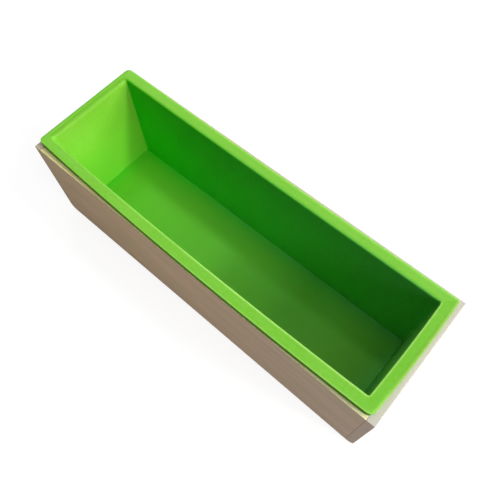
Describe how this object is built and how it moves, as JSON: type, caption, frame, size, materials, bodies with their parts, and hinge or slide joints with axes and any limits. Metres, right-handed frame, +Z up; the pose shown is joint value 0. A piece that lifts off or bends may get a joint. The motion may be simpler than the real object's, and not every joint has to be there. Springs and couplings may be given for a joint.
{
  "type": "soap loaf mould",
  "caption": "Loaf mould for soap making: a soft silicone liner with a flat lip that drops into a nailed, open-topped wooden box.",
  "frame": {"origin": "centre of the wooden box's bottom face, on the surface that it stands on", "axes": "+Z up; X along the length with the right end board at +X; the front side board faces -Y"},
  "size_m": [0.28, 0.09, 0.085],
  "materials": {
    "lime_silicone": "satin, slightly translucent",
    "side_board_wood": "bare, sanded",
    "end_board_wood": "bare, sanded",
    "base_board_wood": "bare, sanded",
    "brad_steel": "dull zinc"
  },
  "bodies": {
    "box": {"front_side_board": "side_board_wood", "rear_side_board": "side_board_wood", "left_end_board": "end_board_wood", "right_end_board": "end_board_wood", "base_board": "base_board_wood", "corner_brads": "brad_steel", "base_brads": "brad_steel"},
    "liner": {"silicone_liner": "lime_silicone"}
  },
  "joints": [
    {"name": "liner_lift", "type": "slide", "parent": "box", "child": "liner", "axis": [0, 0, 1], "range_m": [0, 0.09]}
  ]
}
